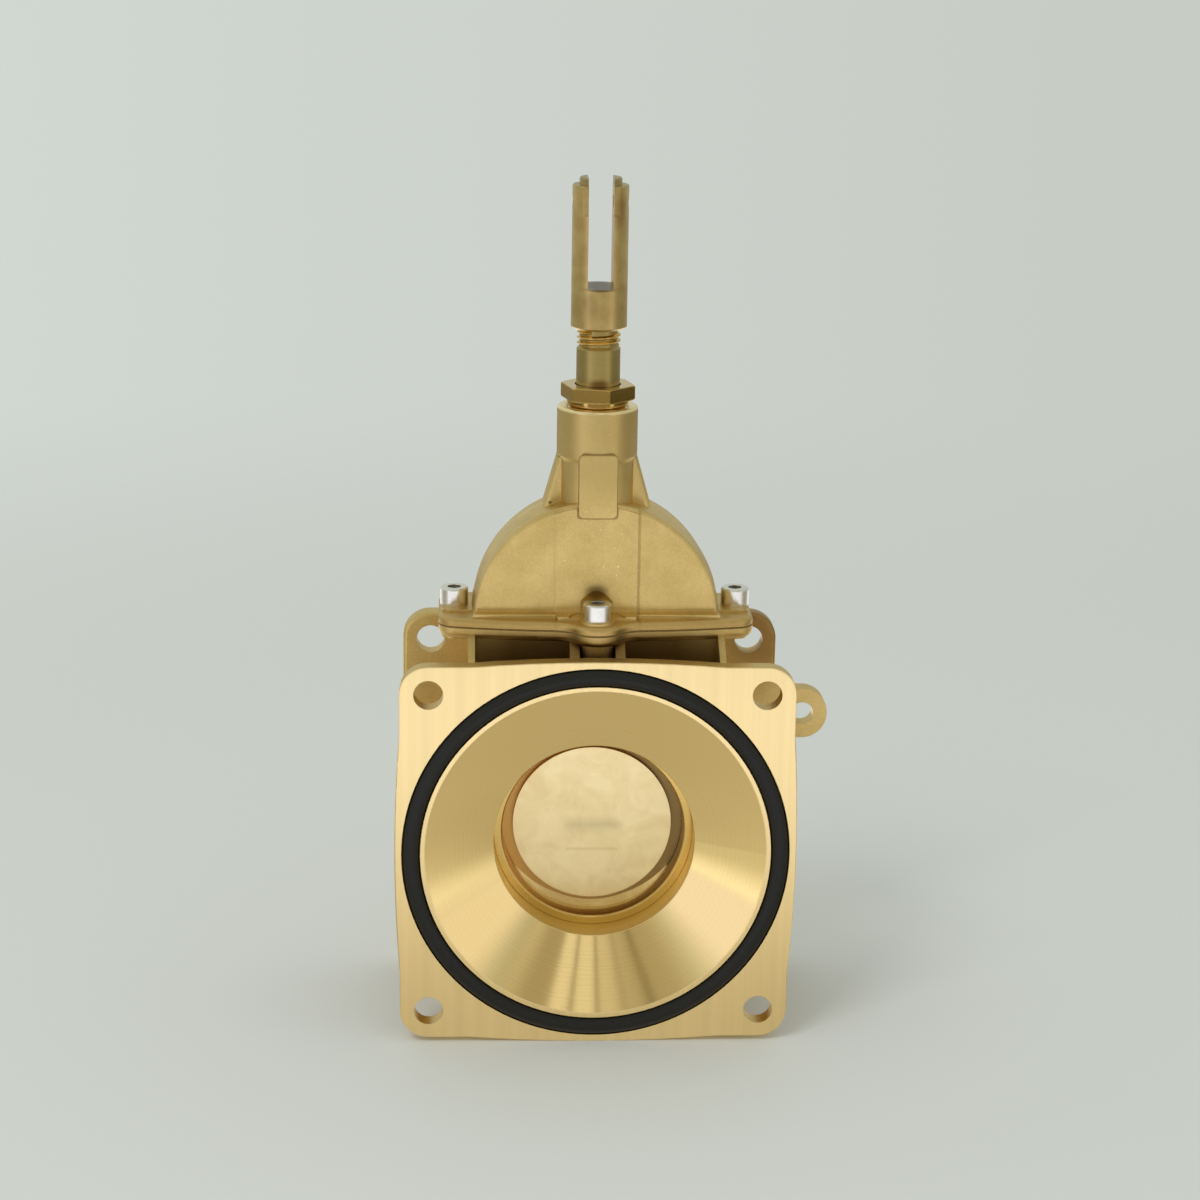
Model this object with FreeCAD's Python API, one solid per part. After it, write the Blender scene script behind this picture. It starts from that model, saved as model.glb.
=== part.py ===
"""Slide gate valve with square flanges, a domed bonnet and a forked lifting stem.

Millimetres. The origin is the centre of the front flange's face. X points right, Y runs
back through the valve along the bore, and Z points up along the stem. The gate is closed.
"""
import FreeCAD, Part
import math
import os

Vector = FreeCAD.Vector

# Flanges
bolt_spacing = 153.5
bolt_edge_distance = 13.25
bolt_hole_diameter = 13.5
flange_thickness = 9.0
flange_corner_radius = 13.0
side_bow = 2.3
straight_by_corner = 19.0
face_to_face = 100.0
flange_face_edge_round = 0.4
flange_back_edge_round = 1.8

# Seal ring in the front flange
seal_cord_diameter = 8.0
seal_stand_out = 2.3
seal_side_gap = 0.3
groove_rim = 3.1
mouth_lip = 1.9
mouth_half_angle = 60.0

# Bore and seat rings
seat_bore_diameter = 85.4
seat_ring_wall = 4.1
seat_ring_length = 11.5
seat_ring_proud = 1.5
seat_fit_gap = 0.05
seat_edge_chamfer = 0.6

# Gate, made of two discs that a spring holds against the seats
gate_thickness = 12.0
gate_overlap = 6.3
gate_split = 1.0
gate_film = 0.05
gate_boss_diameter = 75.0
gate_groove_width = 5.2
gate_groove_depth = 3.5
gate_edge_chamfer = 1.0
open_margin = 0.3
peg_diameter = 9.0
peg_gap = 0.1
peg_end_gap = 0.2
peg_hole_depth = 1.4
spring_outer_diameter = 28.0
spring_inner_diameter = 14.0
spring_thickness = 1.4
spring_pocket_depth = 2.5
spring_pocket_gap = 1.5

# Housing around the gate
body_wall = 5.0
gate_side_clearance = 3.5
cavity_stem_clearance = 2.0
seat_boss_wall = 4.2
rail_gap = 0.4
rail_width = 8.0
stop_pad_width = 16.0
barrel_wall = 6.2
hub_wall = 12.0
housing_edge_round = 3.0
side_rib_thickness = 3.0
side_rib_stand_out = 1.2
side_rib_foot = 64.0
boss_rib_thickness = 4.5
boss_rib_offset = 10.4
rib_drop = 4.0

# Lifting lug on the rear flange
lug_reach = 26.0
lug_height = 24.8
lug_centre_height = 39.4
lug_corner_radius = 12.0
lug_hole_diameter = 11.0
lug_hole_from_edge = 12.0
lug_root_round = 4.0

# Joint between body and bonnet
joint_rise = 10.6
gasket_thickness = 0.8
gasket_inset = 0.4
body_flange_thickness = 5.0
body_flange_round = 3.0
cover_flange_thickness = 4.8
cover_half_depth = 30.0
cover_side_radius = 320.0
cover_corner_radius = 9.0
cover_end_margin = 7.2
cover_rim_drop = 1.1
cover_edge_round = 2.0
lobe_radius = 13.0
lobe_margin = 10.7
lobe_blend_radius = 14.0

# Screws
screw_diameter = 8.0
screw_length = 14.0
screw_head_diameter = 13.0
screw_head_height = 8.0
screw_socket_width = 6.0
screw_socket_depth = 4.0
screw_head_chamfer = 0.7
screw_hole_gap = 0.5
screw_thread_gap = 0.05
end_screw_from_dome = 7.8
middle_screw_from_dome = 11.5
screw_boss_depth = 10.0
end_boss_radius = 6.0
middle_boss_radius = 8.5
end_pad_half_width = 12.0
end_pad_corner_round = 5.0
end_pad_rim = 1.5
middle_pad_rim = 1.8

# Bonnet
bonnet_wall = 5.0
dome_draft = 1.1
dome_edge_round = 1.8
dome_top_gap = 2.9
ledge_height = 0.6
ledge_width = 5.2
ledge_end_setback = 0.7
ledge_edge_round = 0.4
ledge_bay_width = 3.9
ledge_bay_round = 1.8
band_proud = 0.5
band_edge_run = 1.2
spot_face_radius = 13.2
spot_face_height = 5.8
spot_face_runout = 6.0
neck_upper_diameter = 37.0
neck_lower_diameter = 35.5
neck_height = 41.1
neck_step_height = 17.6
neck_step_taper = 2.0
neck_rim_round = 1.5
neck_mouth_chamfer = 0.8
gusset_foot_half_width = 24.6
gusset_foot_height = 4.0
gusset_thickness = 13.5
gusset_edge_round = 3.0
plaque_width = 17.8
plaque_height = 29.8
plaque_top_above_step = 4.0
plaque_corner_radius = 2.8
plaque_proud = 0.9
plaque_edge_round = 0.6

# Stem and its round head in the gate's hub
stem_diameter = 20.0
stem_head_diameter = 18.0
stem_head_thickness = 4.5
stem_neck_diameter = 11.0
stem_head_rise = 0.8
stem_head_gap = 0.2
stem_shoulder_gap = 0.5
hub_lip = 3.0
hub_side_wall = 5.2
hub_corner_round = 3.0
thread_core_diameter = 17.4
thread_show = 9.2
thread_run = 16.0
stem_tip_chamfer = 1.0

# Gland, from the bottom of the stuffing box up
stem_running_gap = 0.05
stem_clear_gap = 0.6
bush_diameter = 26.0
bush_length = 14.0
bore_gap = 0.1
stuffing_diameter = 28.0
packing_rings = 4
packing_height = 4.0
follower_height = 4.0
nut_shank_overlap = 9.0
nut_stand_off = 3.1
nut_collar_height = 1.8
nut_relief_height = 2.4
nut_relief_depth = 1.3
nut_height = 6.6
nut_width = 30.0
nut_turn = 15.5
nut_chamfer = 0.8

# Fork on the stem
fork_clearance = 25.8
fork_diameter = 25.5
fork_length = 68.2
fork_base = 19.0
fork_slot_width = 11.5
fork_foot_chamfer = 1.0
fork_tip_diameter = 19.2
fork_tip_height = 3.2
fork_tip_round = 0.8
fork_flat_distance = 19.6
fork_flat_length = 16.4
fork_pin_hole_diameter = 6.0
fork_pin_from_tip = 11.0
fork_thread_gap = 0.05

# Places worked out along the bore
mid_y = face_to_face / 2
flange_half = bolt_spacing / 2 + bolt_edge_distance
seal_radius = flange_half + side_bow - groove_rim - seal_side_gap - seal_cord_diameter / 2
groove_inner_radius = seal_radius - seal_cord_diameter / 2 - seal_side_gap
groove_outer_radius = seal_radius + seal_cord_diameter / 2 + seal_side_gap
groove_depth = seal_cord_diameter - seal_stand_out
mouth_radius = groove_inner_radius - mouth_lip
seat_bore_radius = seat_bore_diameter / 2
throat_radius = seat_bore_radius + seat_ring_wall
mouth_slope = math.tan(math.radians(mouth_half_angle))
mouth_depth = (mouth_radius - throat_radius) / mouth_slope
seat_y = mid_y - gate_thickness / 2
seat_outer_y = seat_y - seat_ring_length

# Gate and housing sizes worked out across the bore
gate_radius = seat_bore_radius + gate_overlap
stroke = gate_radius + seat_bore_radius + open_margin
cavity_radius = gate_radius + gate_side_clearance
cavity_half = stem_diameter / 2 + cavity_stem_clearance
housing_radius = cavity_radius + body_wall
housing_half = cavity_half + body_wall
housing_front_y = mid_y - housing_half
seat_boss_radius = throat_radius + seat_boss_wall
barrel_radius = throat_radius + barrel_wall
hub_root_radius = mouth_radius - flange_thickness * mouth_slope + hub_wall

# Heights worked out up the stem
head_bottom_z = seat_boss_radius + stem_head_rise
head_top_z = head_bottom_z + stem_head_thickness
hub_half_width = stem_head_diameter / 2 + stem_head_gap + hub_side_wall
hub_top_z = head_top_z + stem_head_gap + hub_lip
body_top_z = flange_half + joint_rise
bonnet_base_z = body_top_z + gasket_thickness
cover_top_z = bonnet_base_z + cover_flange_thickness
cover_rim_z = cover_top_z - cover_rim_drop
dome_inner_radius = housing_radius - bonnet_wall
dome_centre_z = hub_top_z + stroke + dome_top_gap - dome_inner_radius
dome_top_z = dome_centre_z + housing_radius
neck_root_z = dome_centre_z + dome_inner_radius / 2
neck_step_z = dome_top_z + neck_step_height
neck_top_z = dome_top_z + neck_height
nut_bottom_z = neck_top_z + nut_stand_off
nut_top_z = nut_bottom_z + nut_height
nut_shank_bottom_z = neck_top_z - nut_shank_overlap
follower_bottom_z = nut_shank_bottom_z - follower_height
packing_bottom_z = follower_bottom_z - packing_rings * packing_height
bush_bottom_z = packing_bottom_z - bush_length
fork_bottom_z = nut_top_z + fork_clearance
fork_top_z = fork_bottom_z + fork_length
fork_slot_z = fork_bottom_z + fork_base
fork_pin_z = fork_top_z - fork_pin_from_tip
stem_top_z = fork_bottom_z + thread_run

# Screw places, as distances from the stem's line
end_screw_x = housing_radius + end_screw_from_dome
middle_screw_distance = housing_half + middle_screw_from_dome
cover_end_x = end_screw_x + cover_end_margin
lobe_centre_distance = middle_screw_distance + lobe_margin - lobe_radius
SCREW_PLACES = {
    "left": (-end_screw_x, mid_y),
    "right": (end_screw_x, mid_y),
    "front": (0.0, mid_y - middle_screw_distance),
    "rear": (0.0, mid_y + middle_screw_distance),
}

# Modelling lengths: how far a cutter or a hidden root runs on, and how close two values are taken as one
overrun = 1.0
TOLERANCE = 1e-4


def cylinder_y(radius, y_start, y_end, x=0.0, z=0.0):
    """Round bar along the bore."""
    return Part.makeCylinder(radius, y_end - y_start, Vector(x, y_start, z), Vector(0, 1, 0))


def cylinder_z(radius, z_start, z_end, x=0.0, y=mid_y):
    """Upright round bar, on the stem's line unless told otherwise."""
    return Part.makeCylinder(radius, z_end - z_start, Vector(x, y, z_start), Vector(0, 0, 1))


def block(x_range, y_range, z_range):
    """Box between two values on each axis."""
    corner = Vector(x_range[0], y_range[0], z_range[0])
    length = x_range[1] - x_range[0]
    width = y_range[1] - y_range[0]
    height = z_range[1] - z_range[0]
    return Part.makeBox(length, width, height, corner)


def turned_on_bore(points):
    """Ring or disc turned about the bore from (radius, y) corners."""
    corners = [Vector(radius, y, 0) for radius, y in points]
    outline = Part.makePolygon(corners + corners[:1])
    return Part.Face(outline).revolve(Vector(0, 0, 0), Vector(0, 1, 0), 360)


def turned_on_stem(points):
    """Ring or bar turned about the stem's line from (radius, z) corners."""
    corners = [Vector(radius, mid_y, z) for radius, z in points]
    outline = Part.makePolygon(corners + corners[:1])
    return Part.Face(outline).revolve(Vector(0, mid_y, 0), Vector(0, 0, 1), 360)


def plate_from_front(points, y_start, y_end):
    """Flat plate whose outline is given as (x, z) corners seen from the front."""
    corners = [Vector(x, y_start, z) for x, z in points]
    face = Part.Face(Part.makePolygon(corners + corners[:1]))
    return face.extrude(Vector(0, y_end - y_start, 0))


def plate_from_side(points, x_start, x_end):
    """Flat plate whose outline is given as (y, z) corners seen from the side."""
    corners = [Vector(x_start, y, z) for y, z in points]
    face = Part.Face(Part.makePolygon(corners + corners[:1]))
    return face.extrude(Vector(x_end - x_start, 0, 0))


def hexagon_bar(width, z_start, z_end, x, y, turn=0.0):
    """Upright hexagonal bar, with a corner turned this far from the front."""
    corner_radius = width / math.sqrt(3)
    angles = [math.radians(60 * step + turn - 90) for step in range(6)]
    corners = [
        Vector(x + corner_radius * math.cos(angle), y + corner_radius * math.sin(angle), z_start)
        for angle in angles
    ]
    face = Part.Face(Part.makePolygon(corners + corners[:1]))
    return face.extrude(Vector(0, 0, z_end - z_start))


def joined(first, *others):
    """One solid from several that touch or overlap."""
    return first.multiFuse(list(others)).removeSplitter()


def mirrored_to_rear(shape):
    """The same shape on the other side of the gate's middle plane."""
    return shape.mirror(Vector(0, mid_y, 0), Vector(0, 1, 0))


def upright_edges(solid, wanted):
    """Upright edges of a prism whose foot at x, y is wanted."""
    picked = []
    for edge in solid.Edges:
        first = edge.Vertexes[0].Point
        last = edge.Vertexes[-1].Point
        upright = abs(first.x - last.x) < TOLERANCE and abs(first.y - last.y) < TOLERANCE
        if upright and abs(first.z - last.z) > TOLERANCE and wanted(first.x, first.y):
            picked.append(edge)
    return picked


def edges_at_height(solid, z):
    """Edges that lie whole in one level plane."""
    return [edge for edge in solid.Edges if flat_at(edge.BoundBox.ZMin, edge.BoundBox.ZMax, z)]


def edges_at_depth(solid, y):
    """Edges that lie whole in one plane square to the bore."""
    return [edge for edge in solid.Edges if flat_at(edge.BoundBox.YMin, edge.BoundBox.YMax, y)]


def flat_at(low, high, level):
    """Whether both ends of a span sit on one level."""
    return abs(low - level) < TOLERANCE and abs(high - level) < TOLERANCE


def flange_outline(y):
    """Square outline with round corners, each side bowed out over its middle."""
    flat = flange_half - flange_corner_radius
    bow_half = flat - straight_by_corner
    corner_mid = flat + flange_corner_radius * math.sqrt(0.5)
    left_end = Vector(-flat, y, flange_half)
    bow_start = Vector(-bow_half, y, flange_half)
    bow_top = Vector(0, y, flange_half + side_bow)
    bow_end = Vector(bow_half, y, flange_half)
    right_end = Vector(flat, y, flange_half)
    corner_top = Vector(corner_mid, y, corner_mid)
    corner_end = Vector(flange_half, y, flat)
    one_side = [
        Part.LineSegment(left_end, bow_start),
        Part.Arc(bow_start, bow_top, bow_end),
        Part.LineSegment(bow_end, right_end),
        Part.Arc(right_end, corner_top, corner_end),
    ]
    edges = []
    for quarter in range(4):
        for curve in one_side:
            edge = curve.toShape()
            edge.rotate(Vector(0, y, 0), Vector(0, 1, 0), 90 * quarter)
            edges.append(edge)
    return Part.Wire(edges)


def flange_plate(face_y, back_y):
    """Square flange before its holes, crisp round its machined face and softer round its cast back."""
    plate = Part.Face(flange_outline(face_y)).extrude(Vector(0, back_y - face_y, 0))
    plate = plate.makeFillet(flange_face_edge_round, edges_at_depth(plate, face_y))
    return plate.makeFillet(flange_back_edge_round, edges_at_depth(plate, back_y))


def lug_plate(y_start):
    """Rounded ear that stands out of the rear flange's right side, with its hole."""
    low_z = lug_centre_height - lug_height / 2
    high_z = lug_centre_height + lug_height / 2
    outer_x = flange_half + lug_reach
    inner_x = flange_half - lug_corner_radius
    ear = block((inner_x, outer_x), (y_start, y_start + flange_thickness), (low_z, high_z))
    corners = [edge for edge in ear.Edges if is_outer_corner(edge, outer_x)]
    return ear.makeFillet(lug_corner_radius, corners)


def is_outer_corner(edge, x):
    """Whether an edge runs along the bore at this x."""
    box = edge.BoundBox
    return flat_at(box.XMin, box.XMax, x) and box.ZMax - box.ZMin < TOLERANCE


def lug_root(y_start, side):
    """Concave fillet between the lug and the flange, above (1) or below (-1) it."""
    edge_z = lug_centre_height + side * lug_height / 2
    corner_x = flange_half + bow_at(edge_z)
    y_end = y_start + flange_thickness
    inner_x = corner_x - lug_root_round
    outer_x = corner_x + lug_root_round
    far_z = edge_z + side * lug_root_round
    filler = block((inner_x, outer_x), (y_start, y_end), sorted((edge_z, far_z)))
    return filler.cut(cylinder_y(lug_root_round, y_start, y_end, outer_x, far_z))


def bow_at(z):
    """How far the flange's side stands out of its square at this height."""
    bow_half = flange_half - flange_corner_radius - straight_by_corner
    bow_radius = (bow_half ** 2 + side_bow ** 2) / (2 * side_bow)
    return math.sqrt(bow_radius ** 2 - min(abs(z), bow_half) ** 2) - bow_radius + side_bow


def cover_plan(z_start, z_end, inset=0.0):
    """Prism of the joint's outline: bowed long sides, blunt ends, a lobe at each middle screw."""
    end_x = cover_end_x - inset
    side_radius = cover_side_radius - inset
    arc_centre_distance = cover_half_depth - cover_side_radius
    front_arc = cylinder_z(side_radius, z_start, z_end, 0, mid_y - arc_centre_distance)
    rear_arc = cylinder_z(side_radius, z_start, z_end, 0, mid_y + arc_centre_distance)
    strip_half = cover_half_depth + overrun
    strip = block((-end_x, end_x), (mid_y - strip_half, mid_y + strip_half), (z_start, z_end))
    plan = strip.common(front_arc).common(rear_arc)
    corners = upright_edges(plan, lambda x, y: abs(abs(x) - end_x) < TOLERANCE)
    plan = plan.makeFillet(cover_corner_radius - inset, corners)
    front_lobe = cylinder_z(lobe_radius - inset, z_start, z_end, 0, mid_y - lobe_centre_distance)
    rear_lobe = cylinder_z(lobe_radius - inset, z_start, z_end, 0, mid_y + lobe_centre_distance)
    plan = joined(plan, front_lobe, rear_lobe)
    hollows = upright_edges(
        plan, lambda x, y: abs(x) < lobe_radius and abs(y - mid_y) > lobe_centre_distance,
    )
    return plan.makeFillet(lobe_blend_radius + inset, hollows)


def gate_chamber(z_top):
    """Space in the body for the gate: a slot with a round bottom, open at the top."""
    low_y = mid_y - cavity_half
    high_y = mid_y + cavity_half
    bowl = cylinder_y(cavity_radius, low_y, high_y)
    slot = block((-cavity_radius, cavity_radius), (low_y, high_y), (0, z_top))
    return joined(bowl, slot)


def housing_slab():
    """Flat housing around the gate's chamber, round below and straight up to the joint."""
    low_y = mid_y - housing_half
    high_y = mid_y + housing_half
    bowl = cylinder_y(housing_radius, low_y, high_y)
    upright = block((-housing_radius, housing_radius), (low_y, high_y), (0, body_top_z))
    slab = joined(bowl, upright)
    rims = [
        edge
        for edge in edges_at_depth(slab, low_y) + edges_at_depth(slab, high_y)
        if edge.BoundBox.ZMin < body_top_z - TOLERANCE
    ]
    return slab.makeFillet(housing_edge_round, rims)


def front_barrel():
    """Tube and tapered hub that carry the front flange on the housing."""
    hub_end_y = flange_thickness + (hub_root_radius - barrel_radius) / mouth_slope
    inner_y = housing_front_y + body_wall / 2
    return turned_on_bore([
        (0, flange_thickness / 2),
        (hub_root_radius, flange_thickness / 2),
        (hub_root_radius, flange_thickness),
        (barrel_radius, hub_end_y),
        (barrel_radius, inner_y),
        (0, inner_y),
    ])


def front_ribs():
    """Webs between the front flange and the housing, under the joint."""
    start_y = flange_thickness / 2
    end_y = housing_front_y + body_wall / 2
    under_z = body_top_z - body_flange_thickness / 2
    low_front_z = flange_half - rib_drop
    shelf_y = mid_y - cover_half_depth + lobe_margin / 2
    side_top = [(start_y, low_front_z), (shelf_y, under_z), (end_y, under_z)]
    ribs = []
    for side in (-1, 1):
        outer_x = side * (housing_radius + side_rib_stand_out)
        inner_x = outer_x - side * side_rib_thickness
        profile = side_top + [(end_y, side_rib_foot), (start_y, side_rib_foot)]
        ribs.append(plate_from_side(profile, inner_x, outer_x))
    middle_y = mid_y - middle_screw_distance
    middle_top = [(start_y, low_front_z), (middle_y, under_z), (end_y, under_z)]
    for side in (-1, 1):
        inner_x = side * (boss_rib_offset - boss_rib_thickness / 2)
        outer_x = side * (boss_rib_offset + boss_rib_thickness / 2)
        profile = middle_top + [(end_y, throat_radius), (start_y, throat_radius)]
        ribs.append(plate_from_side(profile, inner_x, outer_x))
    return ribs


def middle_screw_boss():
    """Round boss under the front middle screw, tied back to the housing."""
    low_z = body_top_z - screw_boss_depth - body_flange_thickness
    screw_y = mid_y - middle_screw_distance
    high_z = body_top_z - body_flange_thickness / 2
    post = cylinder_z(middle_boss_radius, low_z, high_z, 0, screw_y)
    tie = block(
        (-middle_boss_radius, middle_boss_radius),
        (screw_y, housing_front_y + body_wall / 2),
        (low_z, high_z),
    )
    return joined(post, tie)


def end_screw_boss(side):
    """Boss under an end screw, tied to the housing's side."""
    low_z = body_top_z - screw_boss_depth
    high_z = body_top_z - body_flange_thickness / 2
    post = cylinder_z(end_boss_radius, low_z, high_z, side * end_screw_x)
    x_range = sorted((side * (housing_radius - body_wall / 2), side * end_screw_x))
    tie = block(x_range, (mid_y - end_boss_radius, mid_y + end_boss_radius), (low_z, high_z))
    return joined(post, tie)


def tapped_holes():
    """Threaded holes for the four bonnet screws, drawn at the thread's outer size."""
    radius = screw_diameter / 2 + screw_thread_gap
    holes = []
    for x, y in SCREW_PLACES.values():
        depth = screw_boss_depth + (0 if abs(x) > TOLERANCE else body_flange_thickness / 2)
        holes.append(cylinder_z(radius, body_top_z - depth, body_top_z, x, y))
    return holes


def flange_bolt_holes():
    """Four holes through both flanges."""
    radius = bolt_hole_diameter / 2
    offset = bolt_spacing / 2
    return [
        cylinder_y(radius, 0, face_to_face, x, z)
        for x in (-offset, offset)
        for z in (-offset, offset)
    ]


def seat_bosses():
    """Raised rings inside the chamber that back the two seat rings."""
    low_y = mid_y - cavity_half - body_wall / 2
    face_y = seat_y - seat_ring_proud
    front = cylinder_y(seat_boss_radius, low_y, face_y)
    return [front, mirrored_to_rear(front)]


def gate_guides():
    """Side rails and a bottom pad in the chamber that the gate's rim runs against."""
    y_range = (mid_y - rail_width / 2, mid_y + rail_width / 2)
    reach = cavity_radius + body_wall / 2
    face = gate_radius + rail_gap
    rail_top = body_top_z - body_flange_thickness
    stop = block((-stop_pad_width / 2, stop_pad_width / 2), y_range, (-reach, -face))
    rails = [block(sorted((side * face, side * reach)), y_range, (0, rail_top)) for side in (-1, 1)]
    return [stop, *rails]


def front_mouth():
    """Open cone in the front face, down to the throat."""
    return turned_on_bore([
        (0, -overrun),
        (mouth_radius + mouth_slope * overrun, -overrun),
        (throat_radius, mouth_depth),
        (throat_radius, mouth_depth + overrun),
        (0, mouth_depth + overrun),
    ])


def seal_groove():
    """Square groove round the mouth for the seal ring."""
    outer = cylinder_y(groove_outer_radius, -overrun, groove_depth)
    return outer.cut(cylinder_y(groove_inner_radius, -2 * overrun, groove_depth + overrun))


def joint_flange():
    """Body's half of the joint, its lower edge rounded off."""
    low_z = body_top_z - body_flange_thickness
    flange = cover_plan(low_z, body_top_z)
    return flange.makeFillet(body_flange_round, edges_at_height(flange, low_z))


def valve_body():
    """Cast body: two flanges, barrels, housing, joint flange, ribs, bosses and lug."""
    rear_y = face_to_face - flange_thickness
    front_barrel_solid = front_barrel()
    ribs = front_ribs()
    boss = middle_screw_boss()
    body = joined(
        housing_slab(),
        joint_flange(),
        flange_plate(0, flange_thickness),
        flange_plate(face_to_face, rear_y),
        lug_plate(rear_y),
        lug_root(rear_y, 1),
        lug_root(rear_y, -1),
        front_barrel_solid,
        mirrored_to_rear(front_barrel_solid),
        boss,
        mirrored_to_rear(boss),
        end_screw_boss(-1),
        end_screw_boss(1),
        *ribs,
        *[mirrored_to_rear(rib) for rib in ribs],
    )
    chamber = gate_chamber(body_top_z).cut(joined(*seat_bosses()))
    chamber = chamber.cut(Part.makeCompound(gate_guides()))
    lug_hole = cylinder_y(
        lug_hole_diameter / 2, rear_y, face_to_face,
        flange_half + lug_reach - lug_hole_from_edge, lug_centre_height,
    )
    cutters = [
        chamber,
        cylinder_y(throat_radius, 0, face_to_face),
        front_mouth(),
        seal_groove(),
        lug_hole,
        *flange_bolt_holes(),
        *tapped_holes(),
    ]
    for cutter in cutters:
        body = body.cut(cutter)
    return body.removeSplitter()


def front_seal_ring():
    """Round rubber cord lying in the front groove."""
    cord_radius = seal_cord_diameter / 2
    centre_y = groove_depth - cord_radius
    return Part.makeTorus(seal_radius, cord_radius, Vector(0, centre_y, 0), Vector(0, 1, 0))


def front_seat_ring():
    """Seat ring pressed into the throat, its inner face against the gate."""
    outer = throat_radius - seat_fit_gap
    return turned_on_bore([
        (seat_bore_radius + seat_edge_chamfer, seat_outer_y),
        (outer, seat_outer_y),
        (outer, seat_y),
        (seat_bore_radius, seat_y),
        (seat_bore_radius, seat_outer_y + seat_edge_chamfer),
    ])


def gate_disc_blank():
    """Front half of the gate before its spring pocket: a disc with its hub above."""
    face_y = seat_y + gate_film
    back_y = mid_y - gate_split / 2
    disc = turned_on_bore([
        (0, face_y),
        (gate_radius - gate_edge_chamfer, face_y),
        (gate_radius, face_y + gate_edge_chamfer),
        (gate_radius, back_y),
        (0, back_y),
    ])
    hub = block((-hub_half_width, hub_half_width), (face_y, back_y), (0, hub_top_z))
    shoulders = [edge for edge in hub.Edges if is_hub_shoulder(edge)]
    hub = hub.makeFillet(hub_corner_round, shoulders)
    return joined(disc, hub).cut(gate_face_groove()).cut(stem_slot())


def is_hub_shoulder(edge):
    """Whether an edge is one of the hub's two top corners."""
    box = edge.BoundBox
    return flat_at(box.ZMin, box.ZMax, hub_top_z) and box.XMax - box.XMin < TOLERANCE


def gate_face_groove():
    """Shallow ring groove in the sealing face, inside the seat's bore."""
    inner = gate_boss_diameter / 2
    floor_y = seat_y + gate_film + gate_groove_depth
    ring = cylinder_y(inner + gate_groove_width, seat_y - overrun, floor_y)
    return ring.cut(cylinder_y(inner, seat_y - 2 * overrun, floor_y + overrun))


def stem_slot():
    """Slot across the hub: wide for the stem's head, narrow above it for the stem's neck."""
    y_range = (seat_y - overrun, mid_y + gate_thickness / 2 + overrun)
    head_half = stem_head_diameter / 2 + stem_head_gap
    neck_half = stem_neck_diameter / 2 + stem_head_gap
    low_z = head_bottom_z - stem_head_gap
    wide = block((-head_half, head_half), y_range, (low_z, head_top_z + stem_head_gap))
    narrow = block((-neck_half, neck_half), y_range, (low_z, hub_top_z + overrun))
    return joined(wide, narrow)


def spring_pocket():
    """Round recess in the inner face of the front disc for the spring."""
    floor_y = mid_y - gate_split / 2 - spring_pocket_depth
    return cylinder_y(spring_outer_diameter / 2 + spring_pocket_gap, floor_y, mid_y)


def gate_front_disc():
    """Front half of the gate, with a blind hole that takes the other half's peg."""
    floor_y = mid_y - gate_split / 2 - spring_pocket_depth
    peg_hole = cylinder_y(peg_diameter / 2 + peg_gap, floor_y - peg_hole_depth, mid_y)
    return gate_disc_blank().cut(spring_pocket()).cut(peg_hole)


def gate_rear_disc():
    """Rear half of the gate, with the peg that keeps both halves in line."""
    front_floor_y = mid_y - gate_split / 2 - spring_pocket_depth
    rear_floor_y = mid_y + gate_split / 2 + spring_pocket_depth
    half = mirrored_to_rear(gate_disc_blank().cut(spring_pocket()))
    peg_tip_y = front_floor_y - peg_hole_depth + peg_end_gap
    return joined(half, cylinder_y(peg_diameter / 2, peg_tip_y, rear_floor_y + overrun))


def gate_spring():
    """Conical spring washer round the peg, pushing the two discs apart."""
    front_y = mid_y - gate_split / 2 - spring_pocket_depth
    rear_y = mid_y + gate_split / 2 + spring_pocket_depth
    inner = spring_inner_diameter / 2
    outer = spring_outer_diameter / 2
    return turned_on_bore([
        (inner, front_y),
        (inner + spring_thickness, front_y),
        (outer, rear_y - spring_thickness),
        (outer, rear_y),
        (outer - spring_thickness, rear_y),
        (inner, front_y + spring_thickness),
    ])


def dome_shell(radius, draft, half_thickness, edge_round):
    """Half disc over the chamber, its faces drawn in slightly from the middle plane."""
    front_y = mid_y - half_thickness
    rear_y = mid_y + half_thickness
    disc = turned_on_bore([
        (0, front_y),
        (radius - draft, front_y),
        (radius, mid_y),
        (radius - draft, rear_y),
        (0, rear_y),
    ])
    disc.translate(Vector(0, 0, dome_centre_z))
    low_z = bonnet_base_z - radius
    corners = [
        Vector(-radius + draft, front_y, low_z),
        Vector(radius - draft, front_y, low_z),
        Vector(radius, mid_y, low_z),
        Vector(radius - draft, rear_y, low_z),
        Vector(-radius + draft, rear_y, low_z),
        Vector(-radius, mid_y, low_z),
    ]
    face = Part.Face(Part.makePolygon(corners + corners[:1]))
    walls = face.extrude(Vector(0, 0, dome_centre_z - low_z))
    shell = joined(disc, walls)
    if edge_round:
        rims = edges_at_depth(shell, front_y) + edges_at_depth(shell, rear_y)
        rims = [edge for edge in rims if edge.BoundBox.ZMax > low_z + TOLERANCE]
        shell = shell.makeFillet(edge_round, rims)
    reach = 2 * radius
    below = block((-reach, reach), (mid_y - reach, mid_y + reach), (low_z - reach, bonnet_base_z))
    return shell.cut(below)


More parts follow.
